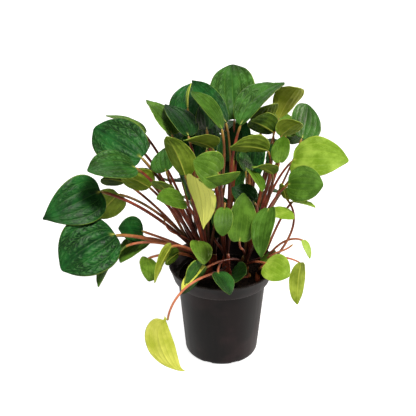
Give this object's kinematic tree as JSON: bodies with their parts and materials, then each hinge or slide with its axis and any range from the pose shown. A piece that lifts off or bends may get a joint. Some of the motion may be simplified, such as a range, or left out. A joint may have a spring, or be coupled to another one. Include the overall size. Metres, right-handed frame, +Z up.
{
  "type": "potted peperomia plant",
  "caption": "Bushy peperomia with thick, round to heart-shaped quilted leaves on red stalks, standing in a plain black nursery pot.",
  "frame": {"origin": "centre of the pot's flat base, on the surface that it stands on", "axes": "+Z up, -Y towards the plant's front, +X to the right as seen from the front"},
  "size_m": [0.3185, 0.242, 0.32],
  "materials": {
    "pot_plastic": "thin black nursery-pot plastic, faint satin sheen",
    "potting_mix": "dark, crumbly potting mix",
    "red_stalk": "fleshy red-brown stalk, slightly glossy",
    "leaf_blade": "thick quilted leaf, deep green above and olive below, satin",
    "young_leaf": "young leaf, yellow-green, satin"
  },
  "bodies": {
    "root": {"pot": "pot_plastic", "soil": "potting_mix", "crown_stalks": "red_stalk", "leaf_01": "leaf_blade", "leaf_02": "leaf_blade", "leaf_03": "leaf_blade", "leaf_04": "leaf_blade", "leaf_05": "leaf_blade", "leaf_06": "leaf_blade", "leaf_07": "leaf_blade", "leaf_08": "leaf_blade", "leaf_09": "leaf_blade", "leaf_10": "leaf_blade", "leaf_11": "leaf_blade", "leaf_12": "leaf_blade", "leaf_13": "leaf_blade", "leaf_14": "leaf_blade", "leaf_15": "leaf_blade", "leaf_16": "leaf_blade", "leaf_17": "leaf_blade", "leaf_18": "leaf_blade", "leaf_19": "leaf_blade", "leaf_20": "leaf_blade", "leaf_21": "leaf_blade", "leaf_22": "leaf_blade", "leaf_23": "leaf_blade", "leaf_24": "leaf_blade", "leaf_25": "leaf_blade", "leaf_26": "leaf_blade", "leaf_27": "leaf_blade", "leaf_28": "leaf_blade", "leaf_29": "leaf_blade", "leaf_30": "leaf_blade", "leaf_31": "leaf_blade", "leaf_32": "leaf_blade", "leaf_33": "leaf_blade", "leaf_34": "leaf_blade", "leaf_35": "leaf_blade", "leaf_36": "leaf_blade", "leaf_37": "leaf_blade", "leaf_38": "leaf_blade", "leaf_39": "leaf_blade", "leaf_40": "leaf_blade", "leaf_41": "leaf_blade", "leaf_42": "leaf_blade", "leaf_43": "leaf_blade", "leaf_44": "leaf_blade", "leaf_45": "leaf_blade", "leaf_46": "leaf_blade", "leaf_47": "leaf_blade", "leaf_48": "leaf_blade", "leaf_49": "leaf_blade", "leaf_50": "leaf_blade", "leaf_51": "leaf_blade", "leaf_52": "leaf_blade", "leaf_53": "leaf_blade", "shoot_right": "young_leaf", "shoot_back_left": "young_leaf", "shoot_back": "young_leaf", "shoot_back_right": "young_leaf"}
  },
  "joints": []
}
